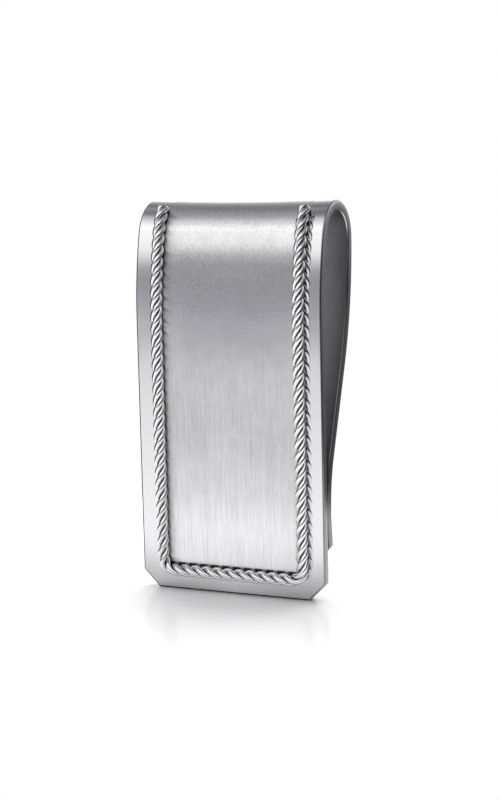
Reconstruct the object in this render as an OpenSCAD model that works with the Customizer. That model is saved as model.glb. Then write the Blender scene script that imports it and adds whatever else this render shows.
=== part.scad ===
// Money clip: one spring strip bent into a loop, with a three-strand rope
// border soldered round its satin front panel. Millimetres.
// +Z is up, the panel faces -Y, and the bottom edge of the front stands on z = 0.

/* [Strip] */
// Width across the front
clip_w = 25.4; // [22:0.1:32]
// Height from the bottom edge to the top of the loop
clip_h = 49.6; // [46:0.1:60]
// Depth of the loop, from the front face to the back of the arm
loop_depth = 10.9; // [9:0.1:13]
// Thickness of the metal
strip_t = 1.25; // [0.8:0.05:1.6]
// Size of the cut corners at both ends of the strip
corner_cut = 2.2; // [0.5:0.1:3]

/* [Bends] */
// Mid-line radius of the slow curve at the top of the front
front_bend_r = 45; // [30:1:60]
// Angle that the slow curve turns through
front_bend_a = 14; // [8:0.5:18]
// Mid-line radius of the slow curve at the top of the arm
arm_bend_r = 44; // [30:1:48]
// Mid-line radius of the pinch, where the arm meets the front plate
pinch_r = 19; // [12:1:22]
// Angle that the lip flares out by
lip_a = 7; // [4:0.5:12]
// Length of the straight lip
lip_len = 4.7; // [3.5:0.1:6]
// Height of the lip's end above the bottom edge
lip_rise = 4.35; // [3:0.05:7]
// Clearance at the pinch with the clip empty
rest_gap = 0.05; // [0.02:0.01:0.2]

/* [Rope border] */
// Outside diameter of the twisted rope
rope_d = 1.58; // [1.2:0.02:2.2]
// Length of one full turn of a strand, in rope diameters
lay = 2.92; // [2.4:0.02:4]
// Distance of the rope's centre line from the sides of the strip
side_border = 3; // [2.2:0.02:5]
// Distance of the rope's centre line from the bottom edge
foot_border = 2.65; // [1.6:0.05:5]
// Sideways offset of the whole border on the strip
border_shift = 0.3; // [-0.8:0.05:0.8]
// Centre-line radius of the two lower corners
rope_corner_r = 1.6; // [1.5:0.1:3]
// Direction round the loop at which the rope stops, 90 being the top
rope_end_a = 51; // [30:1:80]
// Depth of the flat that each strand rests on
strand_flat = 0.1; // [0.04:0.01:0.12]
// Thickness of the solder under the rope
solder_t = 0.1; // [0.06:0.01:0.2]

/* [Hidden] */
$fn = 180;
strands = 3;
rings_per_turn = 12;
strand_sides = 8;
// Overlap that joins neighbouring stretches of the strip
lap = 0.002;

// Side view of the strip, as [y, z] with the front face at y = 0
half_t = strip_t / 2;
bend_r = (loop_depth - strip_t - front_bend_r * (1 - cos(front_bend_a))) / (1 + cos(front_bend_a));
plate_h = clip_h - half_t - bend_r - (front_bend_r - bend_r) * sin(front_bend_a);
front_c = [half_t + front_bend_r, plate_h];
bend_c = front_c + (front_bend_r - bend_r) * [-cos(front_bend_a), sin(front_bend_a)];
arm_c = bend_c + [bend_r - arm_bend_r, 0];
arm_reach = loop_depth - 2 * strip_t - rest_gap;
steepest = acos(1 - arm_reach / (arm_bend_r + pinch_r));
arm_lean = lean_for(bend_c[1] - lip_rise, 2, steepest, 40);
arm_run = run_at(arm_lean);
arm_top = arm_c + arm_bend_r * [cos(arm_lean), -sin(arm_lean)];
arm_foot = arm_top - arm_run * [sin(arm_lean), cos(arm_lean)];
pinch_c = arm_foot + pinch_r * [cos(arm_lean), -sin(arm_lean)];
lip_top = pinch_c - pinch_r * [cos(lip_a), sin(lip_a)];
lip_end = lip_top + lip_len * [sin(lip_a), -cos(lip_a)];

// Rope section: the strands touch where their helices pass closest
rope_turn = lay * rope_d;
helix_r = 0.277 * rope_d;
strand_gap = [for (d = [-60:1:0]) norm([2 * helix_r * sin(60 + d / 2), rope_turn * d / 360])];
strand_r = 0.49 * min(strand_gap);
strand_stretch = norm([rope_turn, 360 * helix_r * PI / 180]) / rope_turn;
rope_lift = solder_t - strand_flat + helix_r + strand_r;
rope_front = rope_lift + helix_r + strand_r;
seam_w = round(240 * strand_r) / 100;
depth_mid = (loop_depth - rope_front) / 2;

// Rope route: the front unrolled flat, as [x, u] with u up the front face
leg_x = clip_w / 2 - side_border;
front_arc = (front_bend_r + half_t + rope_lift) * front_bend_a * PI / 180;
end_arc = (bend_r + half_t + rope_lift) * (rope_end_a - front_bend_a) * PI / 180;
leg_len = plate_h + front_arc + end_arc - foot_border - rope_corner_r;
corner_len = rope_corner_r * PI / 2;
run_len = 2 * (leg_x - rope_corner_r);
rope_len = 2 * leg_len + 2 * corner_len + run_len;
rings = ceil(rope_len / rope_turn * rings_per_turn);

// Straight run that the arm needs at lean a to reach the front plate
function run_at(a) = (arm_reach - (arm_bend_r + pinch_r) * (1 - cos(a))) / sin(a);

// Drop from the widest point of the loop to the lip's end at lean a
function drop_at(a) =
    (arm_bend_r + pinch_r) * sin(a) + run_at(a) * cos(a) + pinch_r * sin(lip_a) + lip_len * cos(lip_a);

// Lean that gives the wanted drop, by halving the interval n times
function lean_for(drop, low, high, n) =
    let (a = (low + high) / 2)
    n == 0 ? a :
    drop_at(a) > drop ? lean_for(drop, a, high, n - 1) : lean_for(drop, low, a, n - 1);

// Direction round the loop at height u, 0 on the flat front and 90 at the top
function turned(u) =
    u < plate_h ? 0 :
    u < plate_h + front_arc ? (u - plate_h) / front_arc * front_bend_a :
    front_bend_a + (u - plate_h - front_arc) / (bend_r + half_t + rope_lift) * 180 / PI;

// Point [y, z] at height u, lifted off the front face by h
function lifted(u, h) =
    let (a = turned(u), out = [-cos(a), sin(a)])
    u < plate_h ? [-h, u] :
    u < plate_h + front_arc ? front_c + (front_bend_r + half_t + h) * out :
    bend_c + (bend_r + half_t + h) * out;

// Centre line at length s from the left end: [x, u, outward x, outward u]
function route(s) =
    s > rope_len / 2 ? let (r = route(rope_len - s)) [-r[0], r[1], -r[2], r[3]] :
    s < leg_len ? [-leg_x, foot_border + rope_corner_r + leg_len - s, -1, 0] :
    s < leg_len + corner_len ?
        let (a = (s - leg_len) / rope_corner_r * 180 / PI)
        [rope_corner_r * (1 - cos(a)) - leg_x, foot_border + rope_corner_r * (1 - sin(a)), -cos(a), -sin(a)] :
    [s - leg_len - corner_len + rope_corner_r - leg_x, foot_border, 0, -1];

// The strands close in to a rounded tip at each end
function tip(s) =
    let (e = max(0, min(s, rope_len - s)) / (0.6 * rope_d))
    e < 1 ? 0.3 + 0.7 * sqrt(1 - pow(1 - e, 2)) : 1;

// One point on a strand: a is its place in the twist, b the direction round the strand
function strand_point(s, a, b) =
    let (
        k = tip(s),
        r = k * (helix_r + strand_r * cos(b)),
        t = k * strand_r * strand_stretch * sin(b),
        h = max(solder_t, rope_lift + r * cos(a) - t * sin(a)),
        w = r * sin(a) + t * cos(a),
        p = route(s),
        q = lifted(p[1] + w * p[3], h)
    )
    [p[0] + w * p[2] + border_shift, q[0] - depth_mid, q[1]];

// A stretch of strip bent about c, between directions a0 and a1 from +Y towards +Z
module bent(c, r, a0, a1, t = strip_t) {
    far = r + 2 * t;
    rim = [for (i = [0:6]) far * 1.2 * [cos(a0 + (a1 - a0) * i / 6), sin(a0 + (a1 - a0) * i / 6)]];
    translate(c)
        intersection() {
            difference() {
                circle(r = r + t / 2);
                circle(r = r - t / 2);
            }
            polygon(concat([[0, 0]], rim));
        }
}

// A straight stretch of strip that starts at p and runs down at an angle from vertical
module straight(p, lean, len) {
    translate(p)
        rotate(-lean)
            translate([-half_t, -len - lap])
                square([strip_t, len + 2 * lap]);
}

// Turns a side view into a solid of width w, centred on x
module across(w, x = 0) {
    translate([x, -depth_mid, 0])
        rotate([90, 0, 90])
            linear_extrude(height = w, center = true)
                children();
}

// Removes both corners of the strip at height z
module cut_corners(z) {
    difference() {
        children();
        for (side = [-1, 1])
            translate([side * clip_w / 2, 0, z])
                rotate([0, 45, 0])
                    cube([corner_cut * sqrt(2), 4 * loop_depth, corner_cut * sqrt(2)], center = true);
    }
}

module front_plate() {
    color("silver")
        cut_corners(0)
            across(clip_w) {
                square([strip_t, plate_h]);
                bent(front_c, front_bend_r, 180 - front_bend_a - lap, 180);
                bent(bend_c, bend_r, 90, 180 - front_bend_a);
            }
}

module spring_arm() {
    color("gainsboro")
        cut_corners(lip_end[1])
            across(clip_w) {
                bent(bend_c, bend_r, 0, 90);
                bent(arm_c, arm_bend_r, -arm_lean, 0);
                straight(arm_top, arm_lean, arm_run);
                bent(pinch_c, pinch_r, 180 - arm_lean, 180 + lip_a);
                straight(lip_top, -lip_a, lip_len);
            }
}

module rope_strand(i) {
    points = [
        for (k = [0:rings], j = [0:strand_sides - 1])
            let (s = rope_len * k / rings)
            strand_point(s, 360 * (s / rope_turn + i / strands), 360 * j / strand_sides)
    ];
    walls = [
        for (k = [0:rings - 1], j = [0:strand_sides - 1])
            let (
                a = k * strand_sides + j,
                b = k * strand_sides + (j + 1) % strand_sides
            )
            each [[a, b, a + strand_sides], [b, b + strand_sides, a + strand_sides]]
    ];
    first = [for (j = [1:strand_sides - 2]) [0, j + 1, j]];
    last = [for (j = [1:strand_sides - 2]) [0, j, j + 1] + rings * strand_sides * [1, 1, 1]];
    polyhedron(points = points, faces = concat(walls, first, last), convexity = 10);
}

module rope_strand_1() {
    color("white")
        rope_strand(0);
}

module rope_strand_2() {
    color("whitesmoke")
        rope_strand(1);
}

module rope_strand_3() {
    color("lightgray")
        rope_strand(2);
}

// Flat part of the solder line, drawn in the plane of the front face
module seam_path() {
    inner_x = leg_x - rope_corner_r;
    corner_z = foot_border + rope_corner_r;
    for (side = [-1, 1]) {
        translate([side * leg_x - seam_w / 2, corner_z])
            square([seam_w, plate_h - corner_z]);
        translate([side * inner_x, corner_z])
            intersection() {
                difference() {
                    circle(r = rope_corner_r + seam_w / 2);
                    circle(r = rope_corner_r - seam_w / 2);
                }
                polygon(4 * rope_corner_r * [[0, 0], [side, 0], [side, -1], [0, -1]]);
            }
    }
    translate([-inner_x, foot_border - seam_w / 2])
        square([2 * inner_x, seam_w]);
}

module rope_solder() {
    color("darkgray") {
        translate([border_shift, -depth_mid, 0])
            rotate([90, 0, 0])
                linear_extrude(height = solder_t)
                    seam_path();
        for (side = [-1, 1])
            across(seam_w, border_shift + side * leg_x) {
                bent(front_c, front_bend_r + half_t + solder_t / 2, 180 - front_bend_a - lap, 180, solder_t);
                bent(bend_c, bend_r + half_t + solder_t / 2, 180 - rope_end_a, 180 - front_bend_a, solder_t);
            }
    }
}

front_plate();
spring_arm();
rope_strand_1();
rope_strand_2();
rope_strand_3();
rope_solder();
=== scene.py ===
from math import acos, ceil, cos, hypot, pi, radians, sin, sqrt

import bmesh
import bpy
import numpy as np
from mathutils import Matrix, Vector

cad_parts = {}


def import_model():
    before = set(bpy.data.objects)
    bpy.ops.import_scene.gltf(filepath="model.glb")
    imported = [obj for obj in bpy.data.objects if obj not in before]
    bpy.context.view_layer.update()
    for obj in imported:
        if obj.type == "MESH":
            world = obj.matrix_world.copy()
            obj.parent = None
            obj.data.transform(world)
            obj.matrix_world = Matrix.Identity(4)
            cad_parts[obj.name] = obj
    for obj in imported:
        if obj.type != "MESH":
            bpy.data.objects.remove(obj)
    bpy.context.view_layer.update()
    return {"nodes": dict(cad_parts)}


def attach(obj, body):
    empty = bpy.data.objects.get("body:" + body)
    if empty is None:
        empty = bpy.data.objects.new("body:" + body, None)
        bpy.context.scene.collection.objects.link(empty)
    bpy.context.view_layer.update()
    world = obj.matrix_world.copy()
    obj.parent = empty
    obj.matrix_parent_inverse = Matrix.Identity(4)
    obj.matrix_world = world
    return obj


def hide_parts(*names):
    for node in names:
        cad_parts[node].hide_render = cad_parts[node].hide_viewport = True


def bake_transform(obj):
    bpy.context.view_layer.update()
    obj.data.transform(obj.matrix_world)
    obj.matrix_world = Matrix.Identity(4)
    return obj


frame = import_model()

MM = 0.001

# ---------------------------------------------------------------- sizes in mm, as in the CAD
W, H, DEPTH = 25.4, 49.6, 10.9  # width of the strip, height and depth of the loop
T, CUT = 1.25, 2.2  # thickness of the strip, size of its cut corners
FRONT_R, FRONT_A = 45.0, radians(14)  # slow curve at the top of the front
ARM_R, PINCH_R = 44.0, 19.0  # slow curve at the top of the arm, and the pinch
LIP_A, LIP_LEN, LIP_RISE = radians(7), 4.7, 4.35  # flare, length and height of the lip
GAP = 0.05  # clearance at the pinch
ROPE_D, LAY = 1.58, 2.92  # rope, and the length of one turn in rope diameters
SIDE, FOOT, SHIFT = 3.0, 2.65, 0.3  # rope's centre line from sides and foot, and its offset
CORNER_R, ROPE_END = 1.6, radians(51)  # rope's lower corners, and where it ends on the loop
FLAT, SOLDER = 0.1, 0.1  # flat that a strand rests on, and the solder below it
HELIX_D, STRAND_SHARE = 0.277, 0.49  # helix radius in rope diameters, strand in its room

# ---------------------------------------------------------------- sizes that only the looks have
PANEL_Z, PANEL_IN = 3.54, 0.46  # lower edge of the satin field, its sides inside the rope's line
SEAM_Z, SEAM_RUN = 33.5, 0.8  # where the crown ends on the front, and how far it runs on the arm
SATIN_END, ROPE_GAP_SHADE_END = radians(104), ROPE_END - radians(4)  # headings at which the satin and the painted shade along the rope end
CURL, BEVEL, SHARP = 0.26, 0.2, radians(38)  # dip of the round top, and the rounding of edges
LEFT_ZONE, FOOT_ZONE, EDGE_TOP = 3.0, 0.6, 42.0  # where the painted shade of the edges changes
RINGS_PER_TURN, SIDES, TAPER, TIP, CLEAR = 30, 14, 0.55, 0.35, 0.995  # mesh and ends of a strand

# ---------------------------------------------------------------- side view of the strip
BEND_R = (DEPTH - T - FRONT_R * (1 - cos(FRONT_A))) / (1 + cos(FRONT_A))
PLATE_H = H - T / 2 - BEND_R - (FRONT_R - BEND_R) * sin(FRONT_A)
FRONT_C = np.array([T / 2 + FRONT_R, PLATE_H])
BEND_C = FRONT_C + (FRONT_R - BEND_R) * np.array([-cos(FRONT_A), sin(FRONT_A)])
REACH = DEPTH - 2 * T - GAP


def arm_run(a):
    return (REACH - (ARM_R + PINCH_R) * (1 - cos(a))) / sin(a)


def arm_drop(a):
    lip = PINCH_R * sin(LIP_A) + LIP_LEN * cos(LIP_A)
    return (ARM_R + PINCH_R) * sin(a) + arm_run(a) * cos(a) + lip


def lean():
    """Lean of the straight arm that puts the lip's end at its height, found by halving."""
    low, high = radians(2), acos(1 - REACH / (ARM_R + PINCH_R))
    for _ in range(50):
        middle = (low + high) / 2
        if arm_drop(middle) > BEND_C[1] - LIP_RISE:
            low = middle
        else:
            high = middle
    return middle


LEAN = lean()
RUN = arm_run(LEAN)


def path():
    """Mid-line of the strip as (y, z, heading), heading 0 up and turning towards +Y."""
    y, z, a = T / 2, 0.0, 0.0
    out = [(y, z, a)]

    def straight(length, n):
        nonlocal y, z
        for _ in range(n):
            y += length / n * sin(a)
            z += length / n * cos(a)
            out.append((y, z, a))

    def arc(r, angle, n):
        nonlocal y, z, a
        side = 1 if angle > 0 else -1
        cy, cz = y + side * r * cos(a), z - side * r * sin(a)
        for _ in range(n):
            a += angle / n
            y, z = cy - side * r * cos(a), cz + side * r * sin(a)
            out.append((y, z, a))

    straight(CUT, 2)
    straight(PANEL_Z - CUT, 2)
    straight(SEAM_Z - PANEL_Z, 14)
    straight(PLATE_H - SEAM_Z, 1)
    arc(FRONT_R, FRONT_A, 16)
    arc(BEND_R, pi - FRONT_A, 64)
    arc(ARM_R, LEAN, 22)
    straight(SEAM_RUN, 1)
    straight(RUN - SEAM_RUN, 5)
    arc(PINCH_R, -LEAN - LIP_A, 24)
    straight(LIP_LEN - CUT, 2)
    straight(CUT, 2)
    return out


def step_length(p, q):
    """Length of the mid-line between two neighbouring points of it."""
    chord, bend = hypot(q[0] - p[0], q[1] - p[1]), abs(q[2] - p[2])
    return bend * chord / (2 * sin(bend / 2)) if bend else chord


LINE = path()
LENGTHS = [0.0]
for p, q in zip(LINE, LINE[1:]):
    LENGTHS.append(LENGTHS[-1] + step_length(p, q))
TOTAL = LENGTHS[-1]

# ---------------------------------------------------------------- run of the rope
helix_r = HELIX_D * ROPE_D
turn = LAY * ROPE_D
strand_r = STRAND_SHARE * min(
    hypot(2 * helix_r * sin(radians(60 + d / 2)), turn * d / 360) for d in range(-60, 1)
)
lift = SOLDER - FLAT + helix_r + strand_r
DEPTH_MID = (DEPTH - lift - helix_r - strand_r) / 2
LEG_X = W / 2 - SIDE
LEGS = (SHIFT - LEG_X, SHIFT + LEG_X)
PANEL_X = (LEGS[0] + PANEL_IN, LEGS[1] - PANEL_IN)
arc_1 = (FRONT_R + T / 2 + lift) * FRONT_A
arc_2 = (BEND_R + T / 2 + lift) * (ROPE_END - FRONT_A)
leg_len = PLATE_H + arc_1 + arc_2 - FOOT - CORNER_R
corner_len = CORNER_R * pi / 2
rope_len = 2 * leg_len + 2 * corner_len + 2 * (LEG_X - CORNER_R)
stretch = hypot(turn, 2 * pi * helix_r) / turn

# ---------------------------------------------------------------- materials
TINT = (1.0, 0.994, 1.004)  # the metal's colour, a little violet
SPECKLE_FADE = (0.029, 0.037)  # heights in metres between which the speckle fades out
PAINTED_FOOT_FADE = (0.0, 0.006)  # heights in metres between which the painted shade at the foot ends
PAINTED_RIM_FADE = (0.0095, W / 2 * MM)  # x in metres between which the painted shade towards the right rim grows
PAINTED_LOBE_GAIN = 8.0  # how much lighter the painted gap shade is where a lobe of the rope covers it


class Nodes:
    """A little helper that adds and links shader nodes."""

    def __init__(self, tree):
        self.tree = tree
        tree.nodes.clear()

    def add(self, kind, props=None, **inputs):
        node = self.tree.nodes.new("ShaderNode" + kind)
        for k, v in (props or {}).items():
            setattr(node, k, v)
        for k, v in inputs.items():
            by_number = k[0] == "i" and k[1:].isdigit()
            sock = node.inputs[int(k[1:]) if by_number else k.replace("_", " ")]
            if isinstance(v, bpy.types.NodeSocket):
                self.tree.links.new(v, sock)
            else:
                sock.default_value = v
        return node

    def axis(self, coords, letter):
        return self.add("SeparateXYZ", Vector=coords).outputs[letter]

    def noise(self, coords, scale, detail=3.0, rough=0.5):
        place = self.add("Mapping", Vector=coords, Scale=scale).outputs["Vector"]
        return self.add("TexNoise", Vector=place, Scale=1.0, Detail=detail,
                        Roughness=rough).outputs["Fac"]

    def spread(self, value, low, high, a=0.3, b=0.7):
        """Low to high as value goes from a to b; the defaults suit a noise."""
        return self.add("MapRange", Value=value, i1=a, i2=b, i3=low, i4=high).outputs["Result"]

    def smooth(self, value, a, b, low, high):
        return self.add("MapRange", {"interpolation_type": "SMOOTHSTEP"}, Value=value,
                        i1=a, i2=b, i3=low, i4=high).outputs["Result"]

    def math(self, op, a, b=0.0):
        return self.add("Math", {"operation": op}, i0=a, i1=b).outputs[0]

    def times(self, a, b):
        return self.math("MULTIPLY", a, b)

    def mix(self, factor, a, b):
        return self.add("Mix", {"data_type": "FLOAT"}, i0=factor, i2=a, i3=b).outputs[0]

    def mix_colour(self, factor, a, b, blend="MIX"):
        return self.add("Mix", {"data_type": "RGBA", "blend_type": blend},
                        i0=factor, i6=a, i7=b).outputs[2]

    def ramp(self, value, stops, smooth=True):
        n = self.add("ValToRGB", Fac=value)
        n.color_ramp.interpolation = "EASE" if smooth else "LINEAR"
        while len(n.color_ramp.elements) < len(stops):
            n.color_ramp.elements.new(0.5)
        for e, (at, c) in zip(n.color_ramp.elements, sorted(stops)):
            e.position = at
            e.color = (*c, 1) if isinstance(c, tuple) else (c, c, c, 1)
        return n.outputs["Color"]

    def output(self, kind, shader):
        self.tree.links.new(shader.outputs[0], self.add(kind).inputs[0])


def in_step(n, co):
    """A wave along the rope's run, 1 where a lobe of the rope lies and -1 between two."""
    x, z = (n.math("DIVIDE", n.axis(co, k), MM) for k in "XZ")
    foot_s = n.math("ADD", x, leg_len + corner_len - CORNER_R + LEG_X - SHIFT)
    leg_s = n.math("SUBTRACT", FOOT + CORNER_R + leg_len, z)
    along = n.mix(n.math("GREATER_THAN", z, PANEL_Z), foot_s, leg_s)
    return n.math("COSINE", n.times(n.math("SUBTRACT", along, turn / 12), 6 * pi / turn))


def metal(name, tone, rough, grain, streak, wear, aniso=0.0, near=0.35, painted_crevice_shade=0.5, open_at=0.8,
          speckle=0.0, painted_foot_shade=1.0, painted_rim_shade=1.0, painted_tones=(), painted_lobe_shade=False):
    """White metal, its colour tone and its roughness rough.

    grain is the scale of the tooling marks, streak how strongly they show, and wear how much
    the scuffs change the roughness. painted_crevice_shade is painted shade that darkens the metal
    where another face is nearer than near, in mm, until the view is open_at open. speckle is a
    fine blasted grain. painted_foot_shade and painted_rim_shade are the painted shade left at the
    foot and at the right edge, painted_tones the painted light and shade by height, and
    painted_lobe_shade the painted shade in step with the rope."""
    mat = bpy.data.materials.new(name)
    mat.use_nodes = True
    n = Nodes(mat.node_tree)
    co = n.add("TexCoord").outputs["Object"]
    fine = n.noise(co, grain, 4.0, 0.6)
    long = n.noise(co, tuple(g * 0.45 for g in grain), 2.0, 0.5)
    cloud = n.noise(co, (90, 90, 70), 2.0, 0.5)
    scuff = n.noise(co, (700, 700, 520), 5.0, 0.7)
    faint = streak * 0.35
    marks = n.times(n.spread(fine, 1 - streak, 1 + streak), n.spread(long, 1 - faint, 1 + faint))
    if speckle:
        grit = n.noise(co, (5000, 5000, 3500), 2.0, 0.6)
        low = n.spread(n.axis(co, "Z"), 1.0, 0.2, *SPECKLE_FADE)
        marks = n.mix(low, n.spread(grit, 1 - speckle, 1 + speckle), marks)
    shade = n.times(marks, n.spread(cloud, 0.985, 1.015))
    # painted shade, darker towards the foot, standing in for the reflected shadow on the floor
    if painted_foot_shade < 1:
        x, z = (n.axis(co, k) for k in "XZ")
        inset = n.times(n.math("SUBTRACT", W / 2 * MM, n.math("ABSOLUTE", x)), 0.25)
        shade = n.times(shade, n.spread(n.math("ADD", z, inset), painted_foot_shade, 1.0, *PAINTED_FOOT_FADE))
    # painted shade, darker towards the right rim
    if painted_rim_shade < 1:
        shade = n.times(shade, n.spread(n.axis(co, "X"), 1.0, painted_rim_shade, *PAINTED_RIM_FADE))
    # painted light and shade by height
    if painted_tones:
        height = n.math("DIVIDE", n.axis(co, "Z"), H * MM)
        shade = n.times(shade, n.ramp(height, painted_tones, smooth=False))
    # painted shade, darkest between the rope's lobes
    if painted_lobe_shade:
        shade = n.times(shade, n.spread(in_step(n, co), 1.0, PAINTED_LOBE_GAIN, 0.1, 0.9))
    # painted shade: darker wherever another face is near, in creases, between strands and where
    # the rope meets the plate
    gap = n.add("AmbientOcclusion", {"samples": 8}, Distance=near * MM).outputs["AO"]
    shade = n.times(shade, n.spread(gap, 1 - painted_crevice_shade, 1.0, 0.3, open_at))
    colour = n.mix_colour(1.0, (*(tone * t for t in TINT), 1.0), shade, "MULTIPLY")
    r = n.times(n.spread(fine, rough * (1 - wear), rough * (1 + wear)),
                n.spread(scuff, 1 - wear, 1 + wear))
    r = n.times(r, n.spread(cloud, 0.93, 1.07))
    bump = n.add("Bump", Strength=min(1.0, streak * 2 + 0.04), Distance=2e-6, Height=fine)
    bsdf = n.add("BsdfPrincipled", Base_Color=colour, Metallic=1.0, Roughness=r,
                 Normal=bump.outputs["Normal"])
    if aniso:
        bsdf.inputs["Anisotropic"].default_value = aniso
        tangent = n.add("Tangent", {"direction_type": "UV_MAP", "uv_map": "lay"})
        mat.node_tree.links.new(tangent.outputs[0], bsdf.inputs["Tangent"])
    n.output("OutputMaterial", bsdf)
    return mat


BRUSHED = (14000.0, 240.0, 240.0)
ROLLED = (300.0, 4000.0, 4000.0)
# polished border: painted shade in creases and at the foot
POLISHED = metal("polished", 0.79, 0.11, (1500, 1100, 900), 0.006, 0.10, near=0.3, painted_crevice_shade=0.6,
                 painted_foot_shade=0.5)
# satin field: painted light and shade by height, a painted highlight band at the crown, and
# painted shade near the rope
SATIN = metal("satin_panel", 1.0, 0.33, BRUSHED, 0.2, 0.10, aniso=0.95, near=0.6, painted_crevice_shade=0.85,
              speckle=0.2,
              painted_tones=((0.16, 0.9), (0.26, 0.81), (0.42, 0.8), (0.58, 1.0), (0.77, 1.0),
                     (0.806, 0.86), (0.845, 0.63), (0.866, 0.67), (0.897, 1.0), (0.925, 1.0),
                     (0.945, 0.8), (1.0, 0.9)))
# loop's inside: painted shade towards the right rim
INSIDE = metal("loop_inside", 0.99, 0.38, (900.0, 700.0, 700.0), 0.002, 0.03, painted_crevice_shade=0.1, painted_rim_shade=0.28)
# edges: painted shade by height, dark below the crown
EDGE = metal("rolled_edge", 1.0, 0.22, ROLLED, 0.02, 0.16, painted_crevice_shade=0.3,
             painted_tones=((0.1, 0.3), (0.5, 0.3), (0.847, 0.4)))
# painted shade: a near-black outline on the rounded edges at the left and the foot
PAINTED_OUTLINE = metal("painted_dark_outline", 0.03, 0.25, ROLLED, 0.02, 0.16, painted_crevice_shade=0.3)
# edges of the crown and the arm: painted shade by height
ARM_EDGE = metal("arm_edge", 1.0, 0.22, ROLLED, 0.02, 0.16, painted_crevice_shade=0.3,
                 painted_tones=((0.6, 0.22), (0.78, 0.25), (0.847, 0.4), (0.92, 0.5), (1.0, 0.55)))
# rope: strong painted shade in the crevices between the strands
ROPE = metal("rope_wire", 0.85, 0.13, (2600, 2600, 2600), 0.015, 0.14, near=0.3, painted_crevice_shade=0.97,
             open_at=0.62)
DULL = metal("solder_line", 0.12, 0.5, (2200, 2200, 2200), 0.06, 0.2)
# painted shade: a dark band where the rope meets the plate, darkest between the rope's lobes
ROPE_GAP_SHADE = metal("painted_rope_gap_shade", 0.06, 0.45, (2200, 2200, 2200), 0.1, 0.2, near=0.4, painted_crevice_shade=0.3,
             painted_lobe_shade=True)
FINISHES = (POLISHED, SATIN, INSIDE, EDGE, ROPE_GAP_SHADE, PAINTED_OUTLINE, ARM_EDGE)
ON_POLISHED, ON_SATIN, ON_INSIDE, ON_EDGE, ON_ROPE_GAP_SHADE, ON_PAINTED_OUTLINE, ON_ARM_EDGE = range(7)


def new_object(name, verts, faces, mats, body, smooth=True):
    mesh = bpy.data.meshes.new(name)
    mesh.from_pydata([tuple(v) for v in verts], [], faces)
    obj = bpy.data.objects.new(name, mesh)
    bpy.context.scene.collection.objects.link(obj)
    for m in mats:
        mesh.materials.append(m)
    if smooth:
        mesh.shade_smooth()
    if body:
        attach(obj, body)
    return obj


# ---------------------------------------------------------------- the strip, built whole
def half_width(s):
    return W / 2 - max(0.0, CUT - s, CUT - (TOTAL - s))


def columns(hw):
    """Places across the strip, with the satin field's sides and the rope's line among them."""
    marks = [x / (W / 2) for x in LEGS + PANEL_X]
    xs = sorted(set([-1.0, 1.0] + marks + [k / 8 for k in range(-5, 6)]))
    return [x * hw for x in xs]


def curl(x, s):
    """The round top dips a little between its edges, as a strip does when it is bent."""
    grow = min(1.0, max(0.0, (s - PLATE_H + 6) / 14))
    fade = min(1.0, max(0.0, (TOTAL - 14 - s) / 22))
    g = grow * grow * (3 - 2 * grow) * fade * fade * (3 - 2 * fade)
    return CURL * g * (1 - (2 * x / W) ** 2)


def station(y, z, a, s, x, side):
    """A point of the strip: side is +1 on the outer surface, -1 on the inner."""
    off = side * T / 2 - curl(x, s)
    return (x * MM, (y - cos(a) * off - DEPTH_MID) * MM, (z + sin(a) * off) * MM)


def length_at(heading):
    return next(s for (_, _, a), s in zip(LINE, LENGTHS) if a > heading)


def build_strip():
    verts, faces, mat = [], [], []
    wide = columns(W / 2)
    n = len(wide)
    for (y, z, a), s in zip(LINE, LENGTHS):
        xs = columns(half_width(s))
        verts += [station(y, z, a, s, x, 1) for x in xs]
        verts += [station(y, z, a, s, x, -1) for x in xs]
    satin_end, rope_gap_shade_end = length_at(SATIN_END), length_at(ROPE_GAP_SHADE_END)

    def finish_at(x, s):
        in_rope = LEGS[0] < x < LEGS[1]
        if PANEL_X[0] < x < PANEL_X[1] and PANEL_Z < s < satin_end:
            return ON_SATIN
        # painted shade along the rope's line
        if in_rope and FOOT < s < rope_gap_shade_end:
            return ON_ROPE_GAP_SHADE
        return ON_SATIN if in_rope and FOOT < s < satin_end else ON_POLISHED

    for k in range(len(LINE) - 1):
        a0, b0 = k * 2 * n, (k + 1) * 2 * n
        mid = (LENGTHS[k] + LENGTHS[k + 1]) / 2
        for i in range(n - 1):
            faces.append((a0 + i, a0 + i + 1, b0 + i + 1, b0 + i))
            mat.append(finish_at((wide[i] + wide[i + 1]) / 2, mid))
            faces.append((a0 + n + i, b0 + n + i, b0 + n + i + 1, a0 + n + i + 1))
            mat.append(ON_INSIDE)
        faces.append((a0, b0, b0 + n, a0 + n))
        faces.append((a0 + n - 1, a0 + 2 * n - 1, b0 + 2 * n - 1, b0 + n - 1))
        mat += [ON_EDGE, ON_EDGE]
    last = (len(LINE) - 1) * 2 * n
    for i in range(n - 1):
        faces.append((i, n + i, n + i + 1, i + 1))
        faces.append((last + i, last + i + 1, last + n + i + 1, last + n + i))
        mat += [ON_EDGE, ON_EDGE]
    mesh = bpy.data.meshes.new("strip_whole")
    mesh.from_pydata(verts, [], faces)
    mesh.polygons.foreach_set("material_index", mat)
    bm = bmesh.new()
    bm.from_mesh(mesh)
    bmesh.ops.recalc_face_normals(bm, faces=bm.faces)
    sharp = [e for e in bm.edges if len(e.link_faces) == 2 and e.calc_face_angle() > SHARP]
    bmesh.ops.bevel(bm, geom=sharp, offset=BEVEL * MM, offset_type="OFFSET", segments=3,
                    profile=0.5, affect="EDGES", material=ON_EDGE, clamp_overlap=True,
                    miter_outer="ARC")
    bm.to_mesh(mesh)
    bm.free()
    mesh.shade_smooth()
    return mesh


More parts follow.
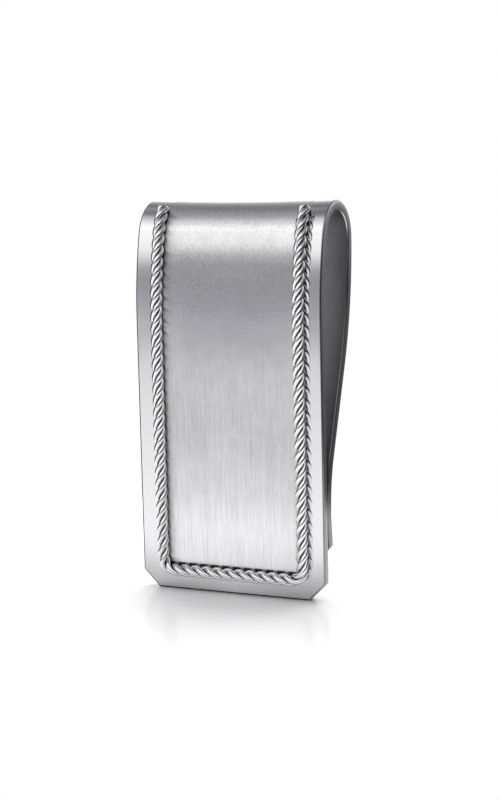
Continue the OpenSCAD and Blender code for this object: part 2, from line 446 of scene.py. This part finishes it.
def strip_pieces():
    """The strip's three pieces, which keep the shading normals of the whole."""
    obj = bpy.data.objects.new("strip_whole", build_strip())
    bpy.context.scene.collection.objects.link(obj)
    wn = obj.modifiers.new("wn", "WEIGHTED_NORMAL")
    wn.mode = "FACE_AREA_WITH_ANGLE"
    wn.weight = 90
    ev = obj.evaluated_get(bpy.context.evaluated_depsgraph_get())
    me = ev.to_mesh()
    co = np.empty(len(me.vertices) * 3)
    me.vertices.foreach_get("co", co)
    co = co.reshape(-1, 3)
    normals = np.empty(len(me.loops) * 3, np.float32)
    me.corner_normals.foreach_get("vector", normals)
    normals = normals.reshape(-1, 3)
    polys = [tuple(p.vertices) for p in me.polygons]
    starts = [p.loop_start for p in me.polygons]
    mats = [p.material_index for p in me.polygons]
    facing = [tuple(p.normal) for p in me.polygons]
    ev.to_mesh_clear()
    bpy.data.objects.remove(obj)
    arm_top = next(p for p in LINE if p[2] > pi + LEAN - 1e-6)
    seam_y = arm_top[0] - SEAM_RUN * sin(LEAN) - DEPTH_MID
    seam_z = arm_top[1] - SEAM_RUN * cos(LEAN)
    split_y = T + GAP / 2 - DEPTH_MID

    def past_seam(c):
        return -sin(LEAN) * (c[1] - seam_y) - cos(LEAN) * (c[2] - seam_z) > 0

    parts = {"strip_front": [], "strip_crown": [], "strip_arm": []}
    for i, p in enumerate(polys):
        c = co[list(p)].mean(0) / MM
        if c[1] < split_y and c[2] < SEAM_Z:
            parts["strip_front"].append(i)
        elif c[1] > split_y and past_seam(c):
            parts["strip_arm"].append(i)
        else:
            parts["strip_crown"].append(i)

    def finish(i):
        """Rounded edges at the left and the foot get a painted dark outline; the flat sides get
        painted shade by height, one for the front and one for the crown and the arm.
        """
        c, (nx, ny, _) = co[list(polys[i])].mean(0) / MM, facing[i]
        if mats[i] != ON_EDGE:
            return mats[i]
        at_outline = c[0] < LEFT_ZONE - W / 2 or c[2] < FOOT_ZONE
        rounded = abs(nx) < 0.97 and abs(ny) > 0.06
        # painted dark outline
        if at_outline and rounded:
            return ON_PAINTED_OUTLINE
        return ON_EDGE if c[1] < split_y and c[2] < EDGE_TOP else ON_ARM_EDGE

    made = {}
    for key, ids in parts.items():
        used = sorted({v for i in ids for v in polys[i]})
        number = {v: k for k, v in enumerate(used)}
        obj = new_object(key, co[used], [tuple(number[v] for v in polys[i]) for i in ids],
                         FINISHES, None)
        mesh = obj.data
        mesh.polygons.foreach_set("material_index", [finish(i) for i in ids])
        x, y, z = co[[v for i in ids for v in polys[i]]].T
        # the map only gives the direction of the brushing
        mesh.uv_layers.new(name="lay").data.foreach_set(
            "uv", np.column_stack([x * 20, z * 20 + y * 7]).ravel())
        custom = np.concatenate([normals[starts[i]:starts[i] + len(polys[i])] for i in ids])
        mesh.normals_split_custom_set([tuple(v) for v in custom])
        made[key] = obj
    return made


strip = strip_pieces()
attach(strip["strip_front"], "front")
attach(strip["strip_arm"], "arm")
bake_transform(strip["strip_crown"])
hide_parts("front_plate")
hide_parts("spring_arm")


# ---------------------------------------------------------------- the rope
def lifted(u, h, x):
    """Point (y, z) at height u up the unrolled front, lifted off it by h."""
    if u < PLATE_H:
        return -h, u
    if u < PLATE_H + arc_1:
        a = (u - PLATE_H) / arc_1 * FRONT_A
        c, r = FRONT_C, FRONT_R
    else:
        a = FRONT_A + (u - PLATE_H - arc_1) / (BEND_R + T / 2 + lift)
        c, r = BEND_C, BEND_R
    r += T / 2 + h - curl(x, u)
    return c[0] - r * cos(a), c[1] + r * sin(a)


def route(s):
    """Centre line at s from the left end, as (x, u) and the outward direction in that plane."""
    if s > rope_len / 2:
        x, u, ox, ou = route(rope_len - s)
        return -x, u, -ox, ou
    if s < leg_len:
        return -LEG_X, FOOT + CORNER_R + leg_len - s, -1.0, 0.0
    if s < leg_len + corner_len:
        a = (s - leg_len) / CORNER_R
        return (CORNER_R * (1 - cos(a)) - LEG_X, FOOT + CORNER_R * (1 - sin(a)),
                -cos(a), -sin(a))
    return s - leg_len - corner_len + CORNER_R - LEG_X, FOOT, 0.0, -1.0


def strand(i):
    rings = ceil(rope_len / turn * RINGS_PER_TURN)
    verts, faces = [], []
    for k in range(rings + 1):
        s = rope_len * k / rings
        e = min(s, rope_len - s) / (TAPER * ROPE_D)
        t = TIP + (1 - TIP) * sqrt(max(0.0, 1 - (1 - min(e, 1.0)) ** 2))
        a = 2 * pi * (s / turn + i / 3)
        x, u, ox, ou = route(s)
        for j in range(SIDES):
            b = 2 * pi * j / SIDES
            r = t * (helix_r + strand_r * CLEAR * cos(b))
            w = t * strand_r * stretch * sin(b)
            h = max(SOLDER, lift + r * cos(a) - w * sin(a))
            side = r * sin(a) + w * cos(a)
            px = x + side * ox + SHIFT
            y, z = lifted(u + side * ou, h, px)
            verts.append((px * MM, (y - DEPTH_MID) * MM, z * MM))
    for k in range(rings):
        for j in range(SIDES):
            p, q = k * SIDES + j, k * SIDES + (j + 1) % SIDES
            faces.append((p, q, q + SIDES, p + SIDES))
    faces.append(tuple(range(SIDES))[::-1])
    faces.append(tuple(rings * SIDES + j for j in range(SIDES)))
    return verts, faces


for i in range(3):
    v, f = strand(i)
    obj = new_object("strand_" + "abc"[i], v, f, (ROPE,), "front")
    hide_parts("rope_strand_%d" % (i + 1))

solder = frame["nodes"]["rope_solder"]
solder.data.materials.clear()
solder.data.materials.append(DULL)

# ---------------------------------------------------------------- camera
AZ, EL, ROLL = radians(24.53), radians(8.30), radians(-1.33)
AIM = Vector((3.04, -DEPTH_MID, 26.64)) * MM
DIST = 215.8 * MM
FRAME_H, FOCAL_PX, CENTRE_V, SENSOR = 800, 1734.0, 387.6, 36.0  # pixels, and the sensor in mm
back_dir = Vector((sin(AZ) * cos(EL), -cos(AZ) * cos(EL), sin(EL)))
right = Vector((cos(AZ), sin(AZ), 0))
up = back_dir.cross(right)
cam_x = cos(ROLL) * right + sin(ROLL) * up
cam_y = cos(ROLL) * up - sin(ROLL) * right
cam_data = bpy.data.cameras.new("camera")
cam_data.sensor_fit = "VERTICAL"
cam_data.sensor_height = SENSOR
cam_data.lens = FOCAL_PX * SENSOR / FRAME_H
cam_data.shift_y = -(FRAME_H / 2 - CENTRE_V) / FRAME_H
cam_data.clip_start = 0.01
camera = bpy.data.objects.new("camera", cam_data)
bpy.context.scene.collection.objects.link(camera)
turned = Matrix((cam_x, cam_y, back_dir)).transposed().to_4x4()
camera.matrix_world = Matrix.Translation(AIM + back_dir * DIST) @ turned
bpy.context.scene.camera = camera
bpy.context.scene.view_settings.view_transform = "Standard"


# ---------------------------------------------------------------- floor, studio and lights
def floor_material():
    mat = bpy.data.materials.new("floor_white")
    mat.use_nodes = True
    n = Nodes(mat.node_tree)
    co = n.add("TexCoord").outputs["Object"]
    tone = n.spread(n.noise(co, (14, 14, 14), 3.0), 0.885, 0.905)
    blue = n.times(tone, 1.004)
    colour = n.add("CombineColor", Red=tone, Green=tone, Blue=blue).outputs[0]
    n.output("OutputMaterial", n.add("BsdfPrincipled", Base_Color=colour, Roughness=0.22))
    return mat


FLOOR_OUTLINE = [(-0.04, 0.045, 0), (-0.045, -0.02, 0), (-0.06, -0.055, 0), (-0.07, -0.075, 0),
                 (-0.15, -0.26, 0), (0.0, -0.26, 0), (0.005, -0.06, 0), (0.10, -0.05, 0),
                 (0.10, 0.045, 0)]
floor = new_object("floor", FLOOR_OUTLINE, [tuple(range(len(FLOOR_OUTLINE)))],
                   (floor_material(),), None, smooth=False)

# brightness of the studio by elevation in degrees, before and behind the clip
FRONT_SKY = [(-20, 0.50), (-8, 0.49), (-3, 0.41), (7, 0.31), (11, 0.38), (13.5, 0.69),
             (16, 1.06), (21, 1.18), (32, 1.28), (42, 1.10), (52, 0.81), (59, 0.58),
             (65, 0.20), (90, 0.13)]
BACK_SKY = [(-14, 0.16), (-2, 0.32), (6, 1.12), (14, 1.04), (34, 0.42), (50, 0.22), (90, 0.13)]


def level(deg):
    """Elevation in degrees as a place from 0, straight down, to 1, straight up."""
    return 0.5 + deg / 180


def cool(stops):
    """The dark parts of the studio are a little bluer than the lights."""
    return [(level(deg), (v * 0.98, v * 0.965, v * 1.045) if v < 0.65 else v) for deg, v in stops]


def world():
    w = bpy.data.worlds.new("studio")
    bpy.context.scene.world = w
    w.use_nodes = True
    n = Nodes(w.node_tree)
    d = n.add("TexCoord").outputs["Generated"]
    x, y, z = n.add("SeparateXYZ", Vector=d).outputs
    e = n.spread(n.times(n.math("ARCSINE", z), 2 / pi), 0.0, 1.0, -1.0, 1.0)
    front = n.ramp(e, cool(FRONT_SKY), smooth=False)
    back = n.ramp(e, cool(BACK_SKY))

    def darken(colour, amount):
        return n.mix_colour(1.0, colour, n.math("SUBTRACT", 1.0, amount), "MULTIPLY")

    seen = n.mix_colour(n.smooth(y, 0.0, 0.45, 0.0, 1.0), front, back)
    # the far left, up to the height of the lights
    low = n.smooth(e, level(25), level(55), 1.0, 0.0)
    seen = darken(seen, n.times(n.smooth(x, -0.92, -0.7, 0.92, 0.0), low))
    # near the horizon it is brighter at the left than in the middle
    band = n.times(n.smooth(e, level(-14), level(-9), 0.0, 1.0),
                   n.smooth(e, level(12), level(18), 1.0, 0.0))
    seen = darken(seen, n.times(n.smooth(x, -0.55, -0.3, -0.4, 0.06), band))
    # the right side
    high = n.smooth(e, level(30), level(60), 1.0, 0.0)
    seen = darken(seen, n.times(n.smooth(x, 0.5, 0.75, 0.0, 0.85), high))
    # the camera and its stand, as the metal mirrors them
    lens = n.add("VectorMath", {"operation": "DOT_PRODUCT"}, i0=d,
                 i1=tuple(back_dir)).outputs["Value"]
    seen = darken(seen, n.smooth(lens, 0.93, 0.97, 0.0, 0.8))
    # the backdrop itself is plain white
    ray = n.add("LightPath").outputs["Is Camera Ray"]
    final = n.mix_colour(ray, seen, (1.0, 1.0, 1.0, 1.0))
    n.output("OutputWorld", n.add("Background", Color=final, Strength=1.0))


def area(name, at, size, power):
    """A soft light over the clip that shows in no reflection."""
    light = bpy.data.lights.new(name, "AREA")
    light.shape = "RECTANGLE"
    light.size, light.size_y = size
    light.energy = power
    obj = bpy.data.objects.new(name, light)
    bpy.context.scene.collection.objects.link(obj)
    obj.location = at
    obj.rotation_euler = (-Vector(at)).to_track_quat("-Z", "Y").to_euler()
    obj.visible_glossy = False


world()
area("key_top", (-0.08, 0.05, 0.9), (1.0, 1.0), 2.5)
area("key_back", (-0.03, 0.27, 0.70), (0.8, 0.4), 5.4)
